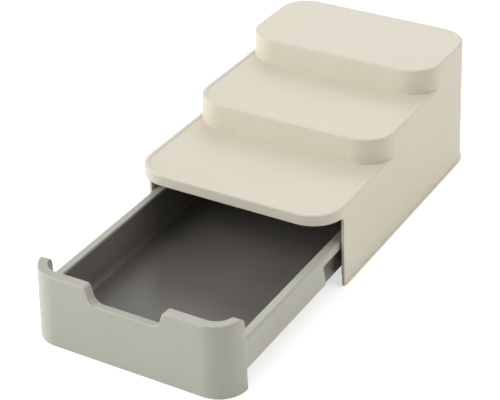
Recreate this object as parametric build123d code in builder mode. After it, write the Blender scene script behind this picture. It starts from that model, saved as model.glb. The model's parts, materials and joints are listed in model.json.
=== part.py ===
from build123d import *
import math
import os

os.makedirs("parts", exist_ok=True)

# A condiment caddy: a stepped plastic shell for jars, with a drawer for tubes below.
# Millimetres, +X to the right seen from the front, +Y towards the back, +Z up.
# The origin is on the table, under the middle of the whole part as it stands here,
# with its drawer pulled half out.

# ---------------------------------------------------------------- tiered shell
shell_width = 170.0  # over the side walls, at the top of the first tier
shell_length = 268.0  # from the first tier's front edge to the foot of the rear wall
first_tier_top = 70.4  # height of the first tier's lip
tier_rise = 20.75  # from one tier to the next
tier_depth = 87.5  # from one tier's front to the next one's
tier_count = 3
tier_overlap = 4.0  # by which a tier runs on inside the next one, past its front corners
corner_radius = 26.2  # upright corners, at the height of the first tier
shell_draft = 1.8  # degrees by which every outer wall leans in towards the top
shell_wall = 2.1
shell_top_thickness = 2.2
lip_width = 3.2  # raised edge round a tier's floor
lip_height = 0.7
lip_slope = 45.0  # degrees from upright of the lip's inner step
lip_edge_radius = 1.3
top_edge_radius = 1.7  # the top tier has no lip, only this round
shell_bottom = 1.4  # underside of the shell above the table
foot_rim_proud = 0.9  # bead round the foot of the shell
foot_rim_height = 2.0
foot_rim_end_radius = 2.8
mouth_top = 61.7  # underside of the front skirt
mouth_corner_radius = 4.0
shell_rib_thickness = 1.5
shell_rib_pitch = 56.0  # between the ribs that run from front to back
first_tier_rib_depth = 4.0
upper_tier_rib_depth = 8.0

# --------------------------------------------------------------- drawer front
pull_out = 142.4  # how far the drawer stands open here
front_top = 60.0
front_bottom = 0.5  # clear of the table
front_set_in = 2.0  # from the side of the shell's top to the side of the front's
front_draft = 2.0  # degrees by which the front's two sides lean in
front_corner_radius = 22.9
front_band = 8.6  # depth of the front's flat top edge
front_return = 23.5  # how far the front wraps round the sides
front_edge_chamfer = 0.6
return_corner_radius = 6.0
closing_gap = 1.2  # between the return and the shell's side wall when shut
cavity_radius = 13.0
drawer_wall = 2.2

# finger notch in the drawer front
notch_half_width = 31.5  # at the top edge
notch_side_lean = 4.0  # each side comes in by this much down to the bottom
notch_bottom = 47.0  # at the outer face
notch_bottom_radius = 8.0
notch_top_radius = 2.5
notch_slope = 15.0  # degrees by which the bottom falls towards the inside

# ---------------------------------------------------------- drawer rim and skirt
rim_top = 39.4
rim_side_clearance = 1.8  # between the rim and the shell's side wall
rim_width = 6.8
rim_edge_radius = 2.0
skirt_bottom = 13.8
rear_clearance = 0.6  # behind the closed drawer
cutout_front_top = -1.7  # front end of the skirt's cut-out, from the shell's front
cutout_lean = 5.9  # how far its front edge slants back on the way down
cutout_top = 32.1
cutout_foot = 11.9  # where the slanted edge would end, below the skirt
cutout_foot_radius = 4.5
cutout_top_radius = 1.0

# ------------------------------------------------------------------- tray insert
tray_wall = 2.0
tray_draft = 2.0
tray_bottom = 6.0
tray_floor_thickness = 2.0
tray_bottom_chamfer = 1.0  # outside
tray_floor_radius = 4.0  # inside
tray_flange = 2.6
tray_flange_thickness = 1.6
snap_proud = 0.7
snap_length = 14.0
snap_height = 1.0
snap_count = 3

# --------------------------------------------------- runners, stops and feet
running_gap = 0.3
ledge_clearance = 0.4  # between a runner's ledge and the tray
guide_height = 7.0
runner_set_back = 13.5  # from the mouth to the runner's front end
runner_wall = 1.8
stop_travel = 7.8  # further pull before the stops meet
stop_length = 2.4
stop_clearance = 0.4
stop_bottom = 22.0
stop_top = 36.0
stop_set_back = 14.0  # from the mouth to the shell's stop rib
foot_length = 16.0
foot_width = 5.0
foot_seat_depth = 0.7
foot_seat_clearance = 0.15
foot_edge_chamfer = 0.3
foot_end_distance = 13.0  # from a runner's end to the middle of its foot

# --------------------------------------------------------- places worked out
lean = math.tan(math.radians(shell_draft))
shell_front = -(pull_out + shell_length + foot_rim_proud) / 2 + pull_out
shell_rear = shell_front + shell_length
drawer_face = shell_front - pull_out
return_end = drawer_face + front_return
mouth_line = shell_front + front_return + closing_gap
tier_fronts = [shell_front + tier * tier_depth for tier in range(tier_count)]
tier_tops = [first_tier_top + tier * tier_rise for tier in range(tier_count)]
tier_ends = [front + corner_radius + tier_overlap for front in tier_fronts[1:]]


def half_width_at(z):
    """Half the shell's width over its walls at height z."""
    return shell_width / 2 + (first_tier_top - z) * lean


def rear_at(z):
    """Outer face of the shell's rear wall at height z."""
    return shell_rear - (z - shell_bottom) * lean


def inner_half_width_at(z):
    """Inner face of the shell's side walls at height z."""
    return half_width_at(z) - shell_wall


front_top_half_width = shell_width / 2 - front_set_in
rim_half_width = inner_half_width_at(rim_top) - rim_side_clearance
cavity_half_width = rim_half_width - rim_width
drawer_rear = rear_at(rim_top) - shell_wall - rear_clearance - pull_out
tray_seat = rim_top - drawer_wall  # underside of the rim
cavity_front = drawer_face + front_band
cavity_rear = drawer_rear - rim_width
shell_inner_radius = corner_radius + (first_tier_top - rim_top) * lean - shell_wall
rim_rear_radius = shell_inner_radius - rim_side_clearance
cavity_rear_radius = rim_rear_radius - rim_width


# ------------------------------------------------------------- tiered shell
def tier_block(tier, bottom, top, inset):
    """One tier down to bottom as a drafted block, drawn in by inset. A lower tier ends
    inside the next one, so that only the top tier makes the rear corners."""
    reach = inset - (first_tier_top - bottom) * lean
    front = tier_fronts[tier] - (tier_tops[tier] - bottom) * lean + inset
    rear = rear_at(bottom) - inset
    with BuildPart() as block:
        with BuildSketch(Plane.XY.offset(bottom)):
            with Locations((0, (front + rear) / 2)):
                RectangleRounded(shell_width - 2 * reach, rear - front, corner_radius - reach)
        extrude(amount=top - bottom, taper=shell_draft)
        if tier < tier_count - 1:
            split(bisect_by=Plane.XZ.offset(-tier_ends[tier]), keep=Keep.TOP)
    return block.part


def finished_tier(tier):
    """A solid tier with its rounded top edge and, below the top one, its lip."""
    has_lip = tier < tier_count - 1
    top = tier_tops[tier]
    with BuildPart() as block:
        add(tier_block(tier, shell_bottom, top, 0))
        top_edges = block.faces().sort_by(Axis.Z)[-1].edges()
        if has_lip:
            fillet(top_edges - top_edges.group_by(Axis.Y)[-1], lip_edge_radius)
        else:
            fillet(top_edges, top_edge_radius)
        if has_lip:
            half_width = half_width_at(top) - lip_width
            front = tier_fronts[tier] + lip_width
            rear = rear_at(top) - lip_width
            radius = corner_radius - (top - first_tier_top) * lean - lip_width
            with BuildSketch(Plane.XY.offset(top)):
                with Locations((0, (front + rear) / 2)):
                    RectangleRounded(2 * half_width, rear - front, radius)
            extrude(amount=-lip_height, taper=lip_slope, mode=Mode.SUBTRACT)
    return block.part


def tier_ceiling(tier):
    """Underside of a tier's top."""
    recess = lip_height if tier < tier_count - 1 else 0
    return tier_tops[tier] - recess - shell_top_thickness


def foot_rim():
    """Bead round the foot of the side and rear walls, with rounded front ends."""
    outer = half_width_at(shell_bottom) + foot_rim_proud
    inner = half_width_at(shell_bottom) - shell_wall + foot_rim_height * lean
    radius = corner_radius + (first_tier_top - shell_bottom) * lean
    front = shell_front - radius
    outer_rear = shell_rear + foot_rim_proud
    inner_rear = shell_rear - shell_wall + foot_rim_height * lean
    with BuildPart() as rim:
        with BuildSketch(Plane.XY.offset(shell_bottom)) as outline:
            with Locations((0, (front + outer_rear) / 2)):
                RectangleRounded(2 * outer, outer_rear - front, radius + foot_rim_proud)
            with Locations((0, (front + inner_rear) / 2)):
                RectangleRounded(
                    2 * inner,
                    inner_rear - front,
                    radius - shell_wall + foot_rim_height * lean,
                    mode=Mode.SUBTRACT,
                )
            with Locations((0, mouth_line)):
                Rectangle(3 * outer, 3 * radius, align=(Align.CENTER, Align.MAX), mode=Mode.SUBTRACT)
            front_ends = outline.vertices().group_by(Axis.Y)[0].sort_by(Axis.X)
            fillet([front_ends[0], front_ends[-1]], foot_rim_end_radius)
        extrude(amount=foot_rim_height)
    return rim.part


def shell_ribs():
    """Stiffening ribs under the tiers, let into the shell's top and walls."""
    fronts = [front + shell_wall / 2 for front in tier_fronts]
    fronts.append(rear_at(tier_tops[-1]) - shell_wall / 2)
    depths = [first_tier_rib_depth] + [upper_tier_rib_depth] * (tier_count - 1)
    root = shell_top_thickness / 2
    with BuildPart() as ribs:
        for tier in range(tier_count):
            length = fronts[tier + 1] - fronts[tier]
            middle = (fronts[tier] + fronts[tier + 1]) / 2
            ceiling = tier_ceiling(tier)
            rib_height = depths[tier] + root
            cross_length = 2 * half_width_at(ceiling) - shell_wall
            rib_align = (Align.CENTER, Align.CENTER, Align.MAX)
            for side in (-1, 0, 1):
                with Locations((side * shell_rib_pitch, middle, ceiling + root)):
                    Box(shell_rib_thickness, length, rib_height, align=rib_align)
            with Locations((0, middle, ceiling + root)):
                Box(cross_length, shell_rib_thickness, rib_height, align=rib_align)
    return ribs.part


stop_front = mouth_line + stop_set_back
stop_rear = stop_front + stop_length
stop_face = rim_half_width + stop_clearance  # inner face of the shell's stop ribs

with BuildPart() as tiered_shell:
    for tier in range(tier_count):
        add(finished_tier(tier))
    for tier in range(tier_count):
        add(tier_block(tier, 0, tier_ceiling(tier), shell_wall), mode=Mode.SUBTRACT)
    with BuildSketch(Plane.YZ):
        with Locations((mouth_line, mouth_top)):
            Rectangle(2 * front_return + corner_radius, 2 * mouth_top, align=(Align.MAX, Align.MAX))
    mouth = extrude(amount=shell_width, both=True, mode=Mode.SUBTRACT)
    mouth_corners = tiered_shell.edges().filter_by(Axis.X).filter_by(
        lambda edge: abs(edge.center().Y - mouth_line) < 0.01 and abs(edge.center().Z - mouth_top) < 0.01
    )
    fillet(mouth_corners, mouth_corner_radius)
    add(foot_rim())
    add(shell_ribs())
    for side in (-1, 1):
        stop_root = half_width_at(stop_top) - shell_wall / 2
        with Locations((side * (stop_face + stop_root) / 2, stop_front, stop_bottom)):
            Box(
                stop_root - stop_face,
                stop_length,
                stop_top - stop_bottom,
                align=(Align.CENTER, Align.MIN, Align.MIN),
            )
tiered_shell.part.label = "tiered_shell"
export_step(tiered_shell.part, "parts/tiered_shell.step")


# ------------------------------------------------------------- drawer frame
def front_block(inset, bottom, top):
    """Block with the outline of the drawer front and its returns, drawn in by inset."""
    front_lean = math.tan(math.radians(front_draft))
    top_half = front_top_half_width + (front_top - top) * front_lean - inset
    bottom_half = front_top_half_width + (front_top - bottom) * front_lean - inset
    with BuildPart() as block:
        with BuildSketch(Plane.XZ.offset(-drawer_face - inset)):
            with BuildLine():
                Polyline(
                    (-bottom_half, bottom),
                    (bottom_half, bottom),
                    (top_half, top),
                    (-top_half, top),
                    close=True,
                )
            make_face()
        extrude(amount=-2 * front_corner_radius)
        uprights = block.edges().filter_by(
            lambda edge: abs(edge.end_point().Z - edge.start_point().Z) > (top - bottom) / 2
        )
        fillet(uprights.group_by(Axis.Y)[0], front_corner_radius - inset)
        split(bisect_by=Plane.XZ.offset(inset - return_end), keep=Keep.TOP)
    return block.part


def cavity_block(grow, bottom, top, taper=0.0):
    """Block of the drawer's opening, grown by grow, drawn at top and run down to bottom."""
    front = cavity_front - grow
    rear = cavity_rear + grow
    half = cavity_half_width + grow
    with BuildPart() as block:
        with BuildSketch(Plane.XY.offset(top)) as outline:
            with Locations((0, front)):
                Rectangle(2 * half, rear - front, align=(Align.CENTER, Align.MIN))
            corners = outline.vertices().group_by(Axis.Y)
            fillet(corners[0], cavity_radius + grow)
            fillet(outline.vertices().group_by(Axis.Y)[-1], cavity_rear_radius + grow)
        extrude(amount=-(top - bottom), taper=taper)
    return block.part


def rim_block(inset, front, bottom, top):
    """Block of the rim and its skirt behind the drawer front, drawn in by inset."""
    half = rim_half_width - inset
    with BuildPart() as block:
        with BuildSketch(Plane.XY.offset(bottom)) as outline:
            with Locations((0, front)):
                Rectangle(2 * half, drawer_rear - inset - front, align=(Align.CENTER, Align.MIN))
            fillet(outline.vertices().group_by(Axis.Y)[-1], rim_rear_radius - inset)
        extrude(amount=top - bottom)
    return block.part


def notch_block(grow):
    """Finger notch, grown by grow, its bottom falling towards the inside."""
    start = drawer_face - drawer_wall
    slope = math.radians(notch_slope)
    bottom = notch_bottom + drawer_wall * math.tan(slope) - grow
    side_slope = notch_side_lean / (front_top - notch_bottom)
    top = front_top + front_band
    top_half = notch_half_width + grow + (top - front_top) * side_slope
    bottom_half = notch_half_width + grow - (front_top - bottom) * side_slope
    with BuildPart() as block:
        with BuildSketch(Plane.XZ.offset(-start)) as profile:
            with BuildLine():
                Polyline(
                    (-bottom_half, bottom),
                    (bottom_half, bottom),
                    (top_half, top),
                    (-top_half, top),
                    close=True,
                )
            make_face()
            fillet(profile.vertices().group_by(Axis.Y)[0], notch_bottom_radius + grow)
        reach = (front_band + 2 * drawer_wall) / math.cos(slope)
        extrude(amount=reach, dir=(0, math.cos(slope), -math.sin(slope)))
    return block.part


def crosses_band(edge):
    """True for the short edges that run from the front's outer skin to its inner one."""
    run = edge.end_point() - edge.start_point()
    along_y = abs(run.X) < 0.1 * abs(run.Y) and abs(run.Y) > front_band - 0.1
    along_x = abs(run.Y) < 0.1 * abs(run.X) and abs(edge.center().X) > cavity_half_width
    return along_y or along_x


def front_panel():
    """Solid drawer front with its returns, finger notch and soft top edges."""
    with BuildPart() as panel:
        add(front_block(0, front_bottom, front_top))
        add(cavity_block(0, 0, front_top + 1), mode=Mode.SUBTRACT)
        add(notch_block(0), mode=Mode.SUBTRACT)
        top_ends = panel.edges().filter_by(
            lambda edge: edge.center().Z > front_top - 0.01
            and abs(edge.center().Y - return_end) < 0.01
        )
        fillet(top_ends, return_corner_radius)
        notch_ends = panel.edges().filter_by(
            lambda edge: edge.center().Z > front_top - 0.01
            and abs(abs(edge.center().X) - notch_half_width) < 1
            and crosses_band(edge)
        )
        fillet(notch_ends, notch_top_radius)
        top_loop = panel.edges().filter_by(
            lambda edge: edge.center().Z > rim_top + 1 and not crosses_band(edge)
        )
        chamfer(top_loop, front_edge_chamfer)
    return panel.part


def skirt_cutout():
    """Cut-outs of both side skirts, open at the bottom, with a slanted front edge."""
    front = shell_front + cutout_front_top
    with BuildPart() as cut:
        with BuildSketch(Plane.YZ) as profile:
            with BuildLine():
                Polyline(
                    (front, cutout_top),
                    (front + cutout_lean, cutout_foot),
                    (skirt_stop_front, cutout_foot),
                    (skirt_stop_front, cutout_top),
                    close=True,
                )
            make_face()
            top_corners = profile.vertices().group_by(Axis.Y)[-1]
            fillet(top_corners, cutout_top_radius)
            foot_corner = profile.vertices().group_by(Axis.Y)[0].sort_by(Axis.X)[0]
            fillet(foot_corner, cutout_foot_radius)
        extrude(amount=shell_width, both=True)
    return cut.part


skirt_stop_front = stop_rear + stop_travel
skirt_stop_face = inner_half_width_at(stop_top) - stop_clearance
snap_top = tray_seat - tray_flange_thickness - ledge_clearance / 4
snap_span = drawer_rear - rim_rear_radius - return_end
snap_fronts = [return_end + snap_span * (place + 0.5) / snap_count for place in range(snap_count)]


def finished_rim():
    """Solid block of the rim and skirt with its rounded outer edge."""
    with BuildPart() as rim:
        add(rim_block(0, return_end - drawer_wall / 2, skirt_bottom, rim_top))
        top_edges = rim.faces().sort_by(Axis.Z)[-1].edges()
        fillet(top_edges.filter_by(lambda edge: edge.center().Y > return_end), rim_edge_radius)
    return rim.part


def band_core():
    """Hollow inside the front's band, above the tray's seat."""
    with BuildPart() as core:
        add(front_block(drawer_wall, tray_seat - 1, front_top - drawer_wall))
        add(cavity_block(drawer_wall, 0, front_top), mode=Mode.SUBTRACT)
        add(notch_block(drawer_wall), mode=Mode.SUBTRACT)
    return core.part


with BuildPart() as drawer_frame:
    add(front_panel())
    add(finished_rim())
    add(cavity_block(0, 0, front_top + 1), mode=Mode.SUBTRACT)
    add(front_block(drawer_wall, front_bottom - 1, tray_seat), mode=Mode.SUBTRACT)
    add(rim_block(drawer_wall, return_end - 2 * drawer_wall, 0, tray_seat), mode=Mode.SUBTRACT)
    add(band_core(), mode=Mode.SUBTRACT)
    add(skirt_cutout(), mode=Mode.SUBTRACT)
    for side in (-1, 1):
        stop_middle = (rim_half_width - drawer_wall / 2 + skirt_stop_face) / 2
        with Locations((side * stop_middle, skirt_stop_front, stop_bottom)):
            Box(
                skirt_stop_face - rim_half_width + drawer_wall / 2,
                stop_length,
                stop_top - stop_bottom,
                align=(Align.CENTER, Align.MIN, Align.MIN),
            )
        for snap_front in snap_fronts:
            with Locations((side * (rim_half_width - drawer_wall), snap_front, snap_top)):
                Box(2 * snap_proud, snap_length, snap_height, align=(Align.CENTER, Align.CENTER, Align.MAX))
drawer_frame.part.label = "drawer_frame"
export_step(drawer_frame.part, "parts/drawer_frame.step")


# --------------------------------------------------------------- drawer tray
def tray_hollow():
    """Space inside the tray, its walls leaning in towards a rounded floor."""
    with BuildPart() as hollow:
        add(cavity_block(0, tray_bottom + tray_floor_thickness, tray_seat, taper=tray_draft))
        fillet(hollow.faces().sort_by(Axis.Z)[0].edges(), tray_floor_radius)
    return hollow.part


with BuildPart() as drawer_tray:
    add(cavity_block(tray_wall, tray_bottom, tray_seat, taper=tray_draft))
    chamfer(drawer_tray.faces().sort_by(Axis.Z)[0].edges(), tray_bottom_chamfer)
    add(cavity_block(tray_wall + tray_flange, tray_seat - tray_flange_thickness, tray_seat))
    add(tray_hollow(), mode=Mode.SUBTRACT)
drawer_tray.part.label = "drawer_tray"
export_step(drawer_tray.part, "parts/drawer_tray.step")


# ------------------------------------------------------------------ runners
ledge_top = skirt_bottom - running_gap
ledge_inner = cavity_half_width + tray_wall + ledge_clearance
guide_top = ledge_top + guide_height
guide_face = rim_half_width + running_gap
runner_front = mouth_line + runner_set_back
runner_rear = shell_rear - corner_radius - 2 * shell_wall
foot_middle = (ledge_inner + inner_half_width_at(shell_bottom)) / 2
foot_places = {
    "front": runner_front + foot_end_distance,
    "rear": runner_rear - foot_end_distance,
}
channel_end = foot_end_distance + foot_length / 2 + runner_wall
foot_top = shell_bottom + foot_seat_depth


def runner(side):
    """One runner: a ledge under the skirt, a guide beside it and seats for two feet."""
    with BuildPart() as bar:
        with BuildSketch(Plane.XZ.offset(-runner_front)):
            with BuildLine():
                Polyline(
                    (side * ledge_inner, shell_bottom),
                    (side * inner_half_width_at(shell_bottom), shell_bottom),
                    (side * inner_half_width_at(guide_top), guide_top),
                    (side * guide_face, guide_top),
                    (side * guide_face, ledge_top),
                    (side * ledge_inner, ledge_top),
                    close=True,
                )
            make_face()
        extrude(amount=-(runner_rear - runner_front))
        channel_length = runner_rear - runner_front - 2 * channel_end
        with Locations((side * foot_middle, (runner_front + runner_rear) / 2, shell_bottom)):
            Box(
                2 * (foot_middle - ledge_inner - runner_wall),
                channel_length,
                ledge_top - runner_wall - shell_bottom,
                align=(Align.CENTER, Align.CENTER, Align.MIN),
                mode=Mode.SUBTRACT,
            )
        with BuildSketch(Plane.XY.offset(shell_bottom)):
            for place in foot_places.values():
                with Locations((side * foot_middle, place)):
                    SlotOverall(foot_length, foot_width, rotation=90)
        extrude(amount=foot_seat_depth, mode=Mode.SUBTRACT)
    return bar.part


for name, side in (("left_runner", -1), ("right_runner", 1)):
    with BuildPart() as side_runner:
        add(runner(side))
    side_runner.part.label = name
    export_step(side_runner.part, f"parts/{name}.step")

# --------------------------------------------------------------------- feet
for end, place in foot_places.items():
    for side_name, side in (("left", -1), ("right", 1)):
        with BuildPart() as foot:
            with BuildSketch():
                with Locations((side * foot_middle, place)):
                    SlotOverall(
                        foot_length - 2 * foot_seat_clearance,
                        foot_width - 2 * foot_seat_clearance,
                        rotation=90,
                    )
            extrude(amount=foot_top)
            chamfer(foot.faces().sort_by(Axis.Z)[0].edges(), foot_edge_chamfer)
        foot.part.label = f"{end}_{side_name}_foot"
        export_step(foot.part, f"parts/{end}_{side_name}_foot.step")
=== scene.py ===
# %% [markdown]
# # A condiment caddy with a drawer
#
# The object is three mouldings and a few small parts: a cream shell with stepped tiers, a sage
# drawer that slides out of it, and a dark tray held inside the drawer. Its shapes come from the
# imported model, so this lesson is about what turns plain solids into injection-moulded plastic:
# soft edges, a fine grain left by the mould, slight unevenness, and calm studio light.

# %% Load the frame
import bpy
import json
import math
from mathutils import Matrix, Vector

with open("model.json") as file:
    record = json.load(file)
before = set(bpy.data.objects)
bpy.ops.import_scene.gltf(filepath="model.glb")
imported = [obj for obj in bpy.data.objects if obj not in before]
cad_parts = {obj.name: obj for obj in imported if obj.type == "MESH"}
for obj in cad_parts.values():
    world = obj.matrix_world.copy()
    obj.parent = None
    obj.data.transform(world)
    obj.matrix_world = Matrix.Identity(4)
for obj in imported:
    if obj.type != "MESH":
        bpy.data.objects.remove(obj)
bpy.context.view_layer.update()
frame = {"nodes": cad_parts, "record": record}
print("nodes:", sorted(frame["nodes"]))

# %% [markdown]
# ## The viewpoint
#
# A camera can be placed by eye, by a target constraint, or from angles. Here it comes from
# angles: how far round the object, how high, how much it is tipped, and how far off it stands.
# A long lens from more than a metre away keeps the shell's long sides nearly parallel, as a
# catalogue picture does. The three axes are written straight into the camera's matrix, so no
# constraint is left to be worked out.

# %% Place the camera
camera_azimuth = math.radians(29.925)
camera_elevation = math.radians(30.825)
camera_roll = math.radians(-0.804)
camera_distance = 1.23577
camera_target = Vector((-0.00311, -0.02342, 0.04365))
camera_focal_pixels = 1595.35
photo_width_pixels = 500
sensor_width_mm = 36.0


def camera_axes(azimuth, elevation, roll):
    """The camera's right, up and backward directions for a view from those angles."""
    back = Vector((
        math.sin(azimuth) * math.cos(elevation),
        -math.cos(azimuth) * math.cos(elevation),
        math.sin(elevation),
    ))
    level_right = Vector((0, 0, 1)).cross(back).normalized()
    level_up = back.cross(level_right)
    right = math.cos(roll) * level_right + math.sin(roll) * level_up
    up = math.cos(roll) * level_up - math.sin(roll) * level_right
    return right, up, back


right, up, back = camera_axes(camera_azimuth, camera_elevation, camera_roll)
camera_data = bpy.data.cameras.new("catalogue_camera")
camera_data.sensor_width = sensor_width_mm
camera_data.lens = camera_focal_pixels * sensor_width_mm / photo_width_pixels
camera = bpy.data.objects.new("catalogue_camera", camera_data)
bpy.context.scene.collection.objects.link(camera)
camera.matrix_world = Matrix.LocRotScale(
    camera_target + camera_distance * back,
    Matrix((right, up, back)).transposed(),
    None,
)
bpy.context.scene.camera = camera
print("lens in mm:", round(camera_data.lens, 1))

# %% [markdown]
# ## Small helpers for node materials
#
# Every finish below is a node tree. It could be built by hand in the shader editor, but written
# out it can be read and made again. Four helpers keep the trees short: one starts a material,
# one adds a node and fills in its sockets, one joins two sockets, and one sends the finished
# surface to the output. Anything that is the same all over a surface is set on the shader's own
# socket and has no link.

# %% Node helpers
def new_material(name):
    """An empty node material and its tree."""
    material = bpy.data.materials.new(name)
    material.use_nodes = True
    material.node_tree.nodes.clear()
    return material, material.node_tree


def add_node(tree, kind, settings=None, **inputs):
    """Adds a node, sets its properties and fills its named input sockets."""
    node = tree.nodes.new(kind)
    for key, value in (settings or {}).items():
        setattr(node, key, value)
    for key, value in inputs.items():
        node.inputs[key.replace("_", " ")].default_value = value
    return node


def join(tree, start, end):
    """Links an output socket to an input socket."""
    tree.links.new(start, end)


def show(tree, surface):
    """Sends a finished surface to the material's output."""
    output = add_node(tree, "ShaderNodeOutputMaterial")
    join(tree, surface, output.inputs["Surface"])


print("node helpers:", [helper.__name__ for helper in (new_material, add_node, join, show)])

# %% [markdown]
# ## Colours
#
# A colour picked on a screen is stored on a curve that suits the eye, while a shader reckons
# with amounts of light. The colour picker in Blender turns one into the other by itself. A
# script has to do it, or every plastic would come out pale.

# %% From screen colours to linear ones
def linear(red, green, blue):
    """A colour picked on a screen, from 0 to 255, as the linear colour that a shader takes."""
    def one(value):
        share = value / 255
        # the screen's curve is straight near black and a power above
        return share / 12.92 if share <= 0.04045 else ((share + 0.055) / 1.055) ** 2.4
    return one(red), one(green), one(blue), 1.0


print("screen grey 128 is linear", round(linear(128, 128, 128)[0], 3))

# %% [markdown]
# ## Textures that keep their size
#
# A finish can be an image wrapped round the part, or a pattern worked out from the place in
# space. The second needs no unwrapping and never stretches, so it is used here. Every pattern
# is read in object coordinates, in metres, and its scale says about how many features fit in a
# metre, so a grain has the same size on every part. A noise seldom leaves the middle of its
# range from 0 to 1, so each one is spread from there to the range that is wanted. The narrower
# the part that is taken, the stronger the contrast.

# %% Noise in object space
core_of_noise = (0.35, 0.65)
most_of_noise = (0.3, 0.7)
wide_noise = (0.25, 0.75)


def noise(tree, place, scale, detail, roughness=0.5):
    """A noise texture of so many features per metre, read at a place."""
    texture = add_node(tree, "ShaderNodeTexNoise", Scale=scale, Detail=detail, Roughness=roughness)
    join(tree, place, texture.inputs["Vector"])
    return texture.outputs["Fac"]


def stretched(tree, place, factors):
    """The same place with each axis scaled, to squeeze or stretch a texture."""
    mapping = add_node(tree, "ShaderNodeMapping", {"vector_type": "POINT"}, Scale=factors)
    join(tree, place, mapping.inputs["Vector"])
    return mapping.outputs["Vector"]


def spread(tree, value, low, high, out_low, out_high):
    """Maps a value from one range to another."""
    ranged = add_node(
        tree, "ShaderNodeMapRange",
        From_Min=low, From_Max=high, To_Min=out_low, To_Max=out_high,
    )
    join(tree, value, ranged.inputs["Value"])
    return ranged.outputs["Result"]


print("parts of the noise that are used:", core_of_noise, most_of_noise, wide_noise)

# %% [markdown]
# ## Mixing
#
# One colour is laid over another by a share from 0 to 1. The Mix node could be left with its
# share as a number, but here a pattern drives it. It keeps sockets for each kind of value under
# the same names, so the colour ones are taken by their places in its lists.

# %% Mix colours and add values
mix_share, mix_first, mix_second, mix_result = 0, 6, 7, 2


def mixed_colour(tree, first, second, share):
    """Mixes two colours, each a colour value or an output socket, by a share socket."""
    mix = add_node(tree, "ShaderNodeMix", {"data_type": "RGBA"})
    for socket, colour in ((mix.inputs[mix_first], first), (mix.inputs[mix_second], second)):
        if isinstance(colour, tuple):
            socket.default_value = colour
        else:
            join(tree, colour, socket)
    join(tree, share, mix.inputs[mix_share])
    return mix.outputs[mix_result]


def added(tree, first, second):
    """The sum of two values."""
    total = add_node(tree, "ShaderNodeMath", {"operation": "ADD"})
    join(tree, first, total.inputs[0])
    join(tree, second, total.inputs[1])
    return total.outputs[0]


print("places of the colour sockets:", mix_first, mix_second, "and of the result:", mix_result)

# %% [markdown]
# ## Worn edges and painted highlights
#
# Edges that hands and shelves rub turn a little lighter. The lighter edge colour is also a painted
# highlight, standing in for the bright line that light draws along rounded arrises. The edges
# could be painted by hand, or found by the Pointiness of a dense mesh. These meshes are sparse, so
# the Bevel node finds the edges: where its rounded normal leaves the true one, there is an edge.

# %% Find the edges
face_likeness = 0.999
edge_likeness = 0.90


# This mask lightens edges both for wear and for a painted highlight along the arrises.
def edge_wear_and_highlight(tree, radius):
    """0 on open faces, rising to 1 on edges that are sharper than the given radius."""
    rounded = add_node(tree, "ShaderNodeBevel", {"samples": 6}, Radius=radius)
    geometry = add_node(tree, "ShaderNodeNewGeometry")
    likeness = add_node(tree, "ShaderNodeVectorMath", {"operation": "DOT_PRODUCT"})
    join(tree, rounded.outputs["Normal"], likeness.inputs[0])
    join(tree, geometry.outputs["Normal"], likeness.inputs[1])
    return spread(tree, likeness.outputs["Value"], face_likeness, edge_likeness, 0.0, 1.0)


# fully worn here means fully lightened, partly as wear and partly as a painted highlight
print("an edge is fully worn from", round(math.degrees(math.acos(edge_likeness))), "degrees")

# %% [markdown]
# ## The relief of a moulding
#
# The shell looks like satin plastic from a spark-eroded mould: a grain about half a millimetre
# across, too fine to see from a step away but enough to blur every highlight. Flat walls are
# never quite flat, which bends their reflections a little. Both could be real displacement, but
# that needs millions of faces for what only the light shows, so they are bumps. Each step builds
# on the normal of the one before: the rounded normal of the Bevel node, which softens arrises
# that are modelled sharp, then the waves, then the grain.

# %% Relief of the surface
arris_radius = 0.0005
wave_scale = 45.0
wave_depth = 0.0002
grain_depth = 0.00002


def surface_relief(tree, place, grain):
    """The normal of a moulded surface with soft arrises, slight waves and a fine grain."""
    rounded = add_node(tree, "ShaderNodeBevel", {"samples": 4}, Radius=arris_radius)
    waves = add_node(tree, "ShaderNodeBump", Strength=0.25, Distance=wave_depth)
    join(tree, noise(tree, place, wave_scale, detail=1.0), waves.inputs["Height"])
    join(tree, rounded.outputs["Normal"], waves.inputs["Normal"])
    grains = add_node(tree, "ShaderNodeBump", Strength=0.5, Distance=grain_depth)
    join(tree, grain, grains.inputs["Height"])
    join(tree, waves.outputs["Normal"], grains.inputs["Normal"])
    return grains.outputs["Normal"]


print("depth of waves and grain in mm:", 1000 * wave_depth, 1000 * grain_depth)

# %% [markdown]
# ## Moulded plastic
#
# The flow of the plastic leaves broad cloudy patches. The tray's floor shows long faint lines
# too, as from a mould polished along its length. They are a noise squeezed across and stretched
# along, and they change mostly the roughness, because such a line is seen in the reflection and
# hardly in the colour. Each plastic could have a tree of its own, but one recipe with a few
# values keeps them a family, as parts from one maker are.

# %% The plastic finish
plastic_ior = 1.49
cloud_scale = 14.0
grain_scale = 1900.0
line_scales = (120.0, 6.0, 120.0)
# edges within this radius take the lighter colour, partly wear and partly a painted highlight
wear_and_highlight_radius = 0.0011
grain_roughness_swing = 0.06


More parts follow.
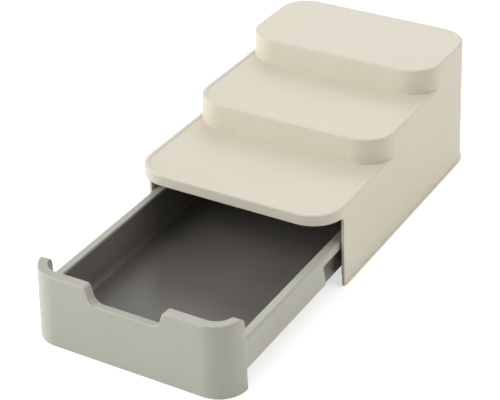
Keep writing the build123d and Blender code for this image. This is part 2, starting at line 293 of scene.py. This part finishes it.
def moulded_plastic(name, colours, roughness, wear_and_highlight_share, streaks):
    """Satin moulded plastic: body, cloud and edge colours (wear and painted highlight), roughness,
    how much of the edge colour shows on edges, and how far polishing lines change the roughness."""
    colour, cloud_colour, worn_and_highlight_colour = colours
    material, tree = new_material(name)
    place = add_node(tree, "ShaderNodeTexCoord").outputs["Object"]
    clouds = noise(tree, place, cloud_scale, detail=3.0)
    grain = noise(tree, place, grain_scale, detail=2.0, roughness=0.6)
    lines = noise(tree, stretched(tree, place, line_scales), 1.0, detail=2.0, roughness=0.45)

    line_share = spread(tree, lines, *core_of_noise, -2.0 * streaks, 2.0 * streaks)
    cloud_share = added(tree, spread(tree, clouds, *core_of_noise, 0.0, 1.0), line_share)
    body_colour = mixed_colour(tree, colour, cloud_colour, cloud_share)
    # edges take the lighter colour: partly wear, partly a painted highlight along the arrises
    wear_and_highlight = spread(tree, edge_wear_and_highlight(tree, wear_and_highlight_radius), 0.0, 1.0, 0.0, wear_and_highlight_share)
    final_colour = mixed_colour(tree, body_colour, worn_and_highlight_colour, wear_and_highlight)

    smoothest = roughness - grain_roughness_swing
    roughest = roughness + grain_roughness_swing
    grain_roughness = spread(tree, grain, *wide_noise, smoothest, roughest)
    line_roughness = spread(tree, lines, *most_of_noise, -streaks, streaks)

    shader = add_node(tree, "ShaderNodeBsdfPrincipled", IOR=plastic_ior)
    join(tree, final_colour, shader.inputs["Base Color"])
    join(tree, added(tree, grain_roughness, line_roughness), shader.inputs["Roughness"])
    join(tree, surface_relief(tree, place, grain), shader.inputs["Normal"])
    show(tree, shader.outputs["BSDF"])
    return material


print("the grain is about", round(1000 / grain_scale, 2), "mm across")

# %% [markdown]
# ## Three plastics
#
# The cream shell is the most matt, the sage drawer shows its lighter edges most, worn and with a
# painted highlight, and the dark tray is the smoothest and the only one with clear lines. The
# clouds could differ more in colour, but fresh plastic is even, so they stay a few steps of 255
# away from the body.

# %% Cream, sage and dark grey
cream_plastic = moulded_plastic(
    "cream_plastic",
    # the third colour lightens the edges: partly wear, partly a painted highlight
    (linear(222, 216, 199), linear(224, 219, 203), linear(238, 234, 222)),
    roughness=0.51, wear_and_highlight_share=0.55, streaks=0.01,
)
sage_plastic = moulded_plastic(
    "sage_plastic",
    # the third colour lightens the edges: partly wear, partly a painted highlight
    (linear(183, 182, 171), linear(185, 185, 174), linear(216, 217, 209)),
    roughness=0.38, wear_and_highlight_share=0.75, streaks=0.02,
)
dark_grey_plastic = moulded_plastic(
    "dark_grey_plastic",
    # the third colour lightens the edges: partly wear, partly a painted highlight
    (linear(115, 112, 108), linear(122, 118, 114), linear(138, 136, 131)),
    roughness=0.36, wear_and_highlight_share=0.5, streaks=0.05,
)
print("plastics:", [m.name for m in (cream_plastic, sage_plastic, dark_grey_plastic)])

# %% [markdown]
# ## Rubber pads
#
# The feet are soft rubber: dark, matt, and dusty where they touch a shelf. The dust could be
# painted on their undersides, but they are hardly seen, so a coarse noise lifts the colour in
# patches instead. A finer noise makes the skin of the rubber.

# %% The rubber finish
rubber_roughness = 0.85
dust_scale = 400.0
dust_start, dust_full, dust_cover = 0.45, 0.75, 0.6
skin_scale = 2600.0
skin_depth = 0.00003


def rubber(name, colour, dust_colour):
    """Matt rubber with a trace of dust."""
    material, tree = new_material(name)
    place = add_node(tree, "ShaderNodeTexCoord").outputs["Object"]
    patches = noise(tree, place, dust_scale, detail=4.0)
    dust = spread(tree, patches, dust_start, dust_full, 0.0, dust_cover)
    skin_bump = add_node(tree, "ShaderNodeBump", Strength=0.4, Distance=skin_depth)
    join(tree, noise(tree, place, skin_scale, detail=2.0), skin_bump.inputs["Height"])
    shader = add_node(tree, "ShaderNodeBsdfPrincipled", Roughness=rubber_roughness)
    join(tree, mixed_colour(tree, colour, dust_colour, dust), shader.inputs["Base Color"])
    join(tree, skin_bump.outputs["Normal"], shader.inputs["Normal"])
    show(tree, shader.outputs["BSDF"])
    return material


rubber_pad = rubber("rubber_pad", linear(52, 52, 52), linear(92, 90, 86))
print("rubber:", rubber_pad.name)

# %% [markdown]
# ## Dress the parts
#
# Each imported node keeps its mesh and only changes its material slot. The nodes could be dressed
# one by one. A dictionary from the record's slot to the finish does it for all of them, so a
# foot can't be forgotten.

# %% Give each node its finish
finishes = {
    "cream_plastic": cream_plastic,
    "sage_plastic": sage_plastic,
    "dark_grey_plastic": dark_grey_plastic,
    "rubber_pad": rubber_pad,
}
for subpart in frame["record"]["subparts"]:
    node = frame["nodes"][subpart["node"]]
    node.data.materials.clear()
    node.data.materials.append(finishes[subpart["material_slot"]])
    print(subpart["node"], "->", subpart["material_slot"])

# %% [markdown]
# ## The floor's finish
#
# The photo shows the object on plain white. It could stand on nothing, but then no shadow would
# tie it to the ground, so the floor is a real surface that catches one. Far off, where the lamps
# no longer reach, such a floor turns grey. So it also glows, and more with the distance. Only
# rays that look at it see the glow, from the camera or by way of a reflection, and the light on
# the object stays plain.

# %% White paper with a glow
paper_scale = 3.0
paper_dark, paper_light = (0.86, 0.86, 0.86, 1), (0.88, 0.88, 0.88, 1)
glow_starts, glow_is_full = 0.35, 1.2
glow_near, glow_far = 0.62, 1.0


def floor_material(name):
    """White floor that keeps its shadow and looks white to the camera."""
    material, tree = new_material(name)
    place = add_node(tree, "ShaderNodeTexCoord").outputs["Object"]
    paper = spread(tree, noise(tree, place, paper_scale, detail=2.0), *most_of_noise, 0.0, 1.0)
    surface = add_node(tree, "ShaderNodeBsdfDiffuse")
    join(tree, mixed_colour(tree, paper_dark, paper_light, paper), surface.inputs["Color"])

    away = add_node(tree, "ShaderNodeVectorMath", {"operation": "LENGTH"})
    join(tree, place, away.inputs[0])
    strength = spread(
        tree, away.outputs["Value"], glow_starts, glow_is_full, glow_near, glow_far
    )
    glow = add_node(tree, "ShaderNodeEmission")
    join(tree, strength, glow.inputs["Strength"])
    glowing = add_node(tree, "ShaderNodeAddShader")
    join(tree, surface.outputs[0], glowing.inputs[0])
    join(tree, glow.outputs[0], glowing.inputs[1])

    rays = add_node(tree, "ShaderNodeLightPath")
    looking = add_node(tree, "ShaderNodeMath", {"operation": "MAXIMUM"})
    join(tree, rays.outputs["Is Camera Ray"], looking.inputs[0])
    join(tree, rays.outputs["Is Glossy Ray"], looking.inputs[1])
    chosen = add_node(tree, "ShaderNodeMixShader")
    join(tree, looking.outputs[0], chosen.inputs[0])
    join(tree, surface.outputs[0], chosen.inputs[1])
    join(tree, glowing.outputs[0], chosen.inputs[2])
    show(tree, chosen.outputs[0])
    return material


floor_white = floor_material("floor_white")
print("the floor's glow:", glow_near, "near the object and", glow_far, "beyond", glow_is_full, "m")

# %% [markdown]
# ## The floor
#
# The floor is one flat square under the object. A curved sweep would hide the far edge in every
# view, but the square is so large that the camera's own view never reaches its edge.

# %% Floor
floor_size = 8.0

half = floor_size / 2
corners = [(-half, -half, 0), (half, -half, 0), (half, half, 0), (-half, half, 0)]
floor_mesh = bpy.data.meshes.new("floor")
floor_mesh.from_pydata(corners, [], [(0, 1, 2, 3)])
floor = bpy.data.objects.new("floor", floor_mesh)
bpy.context.scene.collection.objects.link(floor)
floor.data.materials.append(floor_white)
print("floor side in m:", floor_size)

# %% [markdown]
# ## The room
#
# A studio's walls send a little light back from everywhere. A picture of a real room could light
# the scene, but it would bring its own colours and sharp sources. So the world is a weak and
# slightly warm fill, and the lamps do the rest. Past the floor's edge the camera sees a plain
# light backdrop instead of the dim fill.

# %% World
fill_strength = 0.22
fill_colour = (1.0, 0.99, 0.97, 1)
backdrop_strength = 1.0

world = bpy.data.worlds.new("studio")
bpy.context.scene.world = world
world.use_nodes = True
room = world.node_tree
room.nodes.clear()
fill = add_node(room, "ShaderNodeBackground", Strength=fill_strength, Color=fill_colour)
backdrop = add_node(room, "ShaderNodeBackground", Strength=backdrop_strength)
room_rays = add_node(room, "ShaderNodeLightPath")
room_mix = add_node(room, "ShaderNodeMixShader")
room_output = add_node(room, "ShaderNodeOutputWorld")
join(room, room_rays.outputs["Is Camera Ray"], room_mix.inputs[0])
join(room, fill.outputs[0], room_mix.inputs[1])
join(room, backdrop.outputs[0], room_mix.inputs[2])
join(room, room_mix.outputs[0], room_output.inputs["Surface"])
print("fill strength:", fill_strength)

# %% [markdown]
# ## The lamps
#
# The photo's shading is soft, so every lamp is a wide square, like a studio's panels. Their
# places follow what the shading says. The drawer's right corner is darker than both of the faces
# it joins, so no lamp stands in front of it: the key comes from the left front and the side
# light from the right. The rim loses light near the shell, so part of the light on the tops
# comes from behind, where the shell's own height blocks it. A smaller high lamp at the left
# draws the bright line along the front edges.
#
# The strengths could be guessed one after the other. The first ones came from pictures with one
# lamp each, mixed to come nearest to the photo. After that, lamps were added, enlarged and
# trimmed.

# %% Lamps
lamp_aim = Vector((0, 0, 0.05))


def soft_lamp(name, place, side, watts, colour):
    """A square area lamp at a place, turned towards the object's middle."""
    data = bpy.data.lights.new(name, "AREA")
    data.shape = "SQUARE"
    data.size = side
    data.energy = watts
    data.color = colour
    lamp = bpy.data.objects.new(name, data)
    bpy.context.scene.collection.objects.link(lamp)
    lamp.location = place
    lamp.rotation_euler = (lamp_aim - Vector(place)).to_track_quat("-Z", "Y").to_euler()
    return lamp


white = (1.0, 1.0, 1.0)
lamps = [
    soft_lamp("key_panel", (-1.85, -1.4, 1.1), side=1.9, watts=45.5, colour=(1.0, 1.0, 0.99)),
    soft_lamp("back_sweep", (-0.5, 1.42, 1.15), side=1.2, watts=9.0, colour=(0.99, 1.0, 1.01)),
    soft_lamp("overhead_sheet", (-0.15, 0.2, 1.6), side=1.6, watts=4.5, colour=white),
    soft_lamp("right_panel", (1.6, 0.1, 0.7), side=1.0, watts=7.5, colour=(1.0, 0.96, 0.89)),
    soft_lamp("right_sweep", (1.0, 1.45, 0.85), side=1.2, watts=6.0, colour=(1.0, 0.98, 0.94)),
    soft_lamp("front_edge_light", (-0.82, -0.97, 1.4), side=0.6, watts=3.5, colour=white),
]
bpy.context.scene.view_settings.view_transform = "Standard"
print("lamps:", [lamp.name for lamp in lamps])
